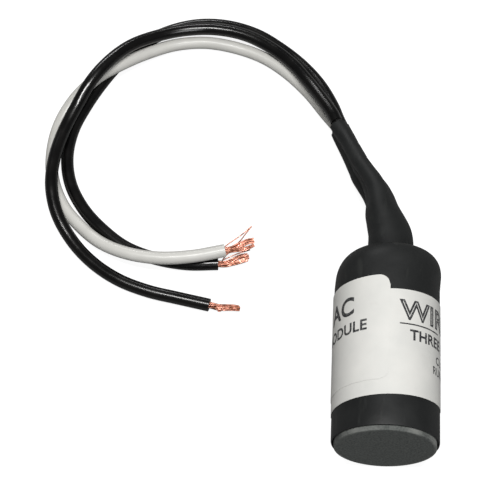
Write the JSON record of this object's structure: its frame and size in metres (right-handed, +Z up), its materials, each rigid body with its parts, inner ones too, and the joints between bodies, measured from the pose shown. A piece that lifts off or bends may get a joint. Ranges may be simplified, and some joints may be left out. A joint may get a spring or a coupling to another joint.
{
  "type": "whole house surge protector",
  "caption": "Sealed cylindrical surge arrestor in black shrink sleeve with a wrapped printed label, a closed flat base and flying leads with stripped ends.",
  "frame": {"origin": "on the surface the part lies on, under the middle of everything but its free leads", "axes": "+Y along the body from its closed base to its leads, +Z up, +X to the right seen from the base"},
  "size_m": [0.1268, 0.1568, 0.0329],
  "materials": {
    "sleeve": "matte heat-shrunk tubing",
    "label": "satin printed film",
    "base_board": "rough pressed board",
    "can": "matte moulded plastic",
    "potting_resin": "cast epoxy",
    "varistor_coat": "dipped epoxy coating",
    "separator_paper": "pressed fibre",
    "tinned_copper": "tinned wire",
    "bare_copper": "bare copper strands",
    "crimp_metal": "tinned sleeve",
    "cutoff_case": "glazed ceramic",
    "black_insulation": "glossy extruded insulation",
    "white_insulation": "glossy extruded insulation"
  },
  "bodies": {
    "root": {"base_disc": "base_board", "crimp_line1": "crimp_metal", "crimp_line2": "crimp_metal", "crimp_neutral": "crimp_metal", "housing_can": "can", "line1_lead": "black_insulation", "line1_lead_root": "black_insulation", "line1_root_conductor": "bare_copper", "line1_strands": "bare_copper", "line1_stray_strand": "bare_copper", "line2_lead": "black_insulation", "line2_lead_root": "black_insulation", "line2_root_conductor": "bare_copper", "line2_strands": "bare_copper", "neutral_lead": "white_insulation", "neutral_lead_root": "white_insulation", "neutral_root_conductor": "bare_copper", "neutral_strands": "bare_copper", "neutral_stray_strand": "bare_copper", "potting": "potting_resin", "separator_1": "separator_paper", "separator_2": "separator_paper", "shrink_sleeve": "sleeve", "splice_line1": "crimp_metal", "splice_line2": "crimp_metal", "thermal_cutoff_line1": "cutoff_case", "thermal_cutoff_line1_lower_lead": "tinned_copper", "thermal_cutoff_line1_upper_lead": "tinned_copper", "thermal_cutoff_line2": "cutoff_case", "thermal_cutoff_line2_lower_lead": "tinned_copper", "thermal_cutoff_line2_upper_lead": "tinned_copper", "varistor_line1_line2": "varistor_coat", "varistor_line1_line2_lead_line1": "tinned_copper", "varistor_line1_line2_lead_line2": "tinned_copper", "varistor_line1_neutral": "varistor_coat", "varistor_line1_neutral_lead_line1": "tinned_copper", "varistor_line1_neutral_lead_neutral": "tinned_copper", "varistor_line2_neutral": "varistor_coat", "varistor_line2_neutral_lead_line2": "tinned_copper", "varistor_line2_neutral_lead_neutral": "tinned_copper", "wrap_label": "label"}
  },
  "joints": []
}
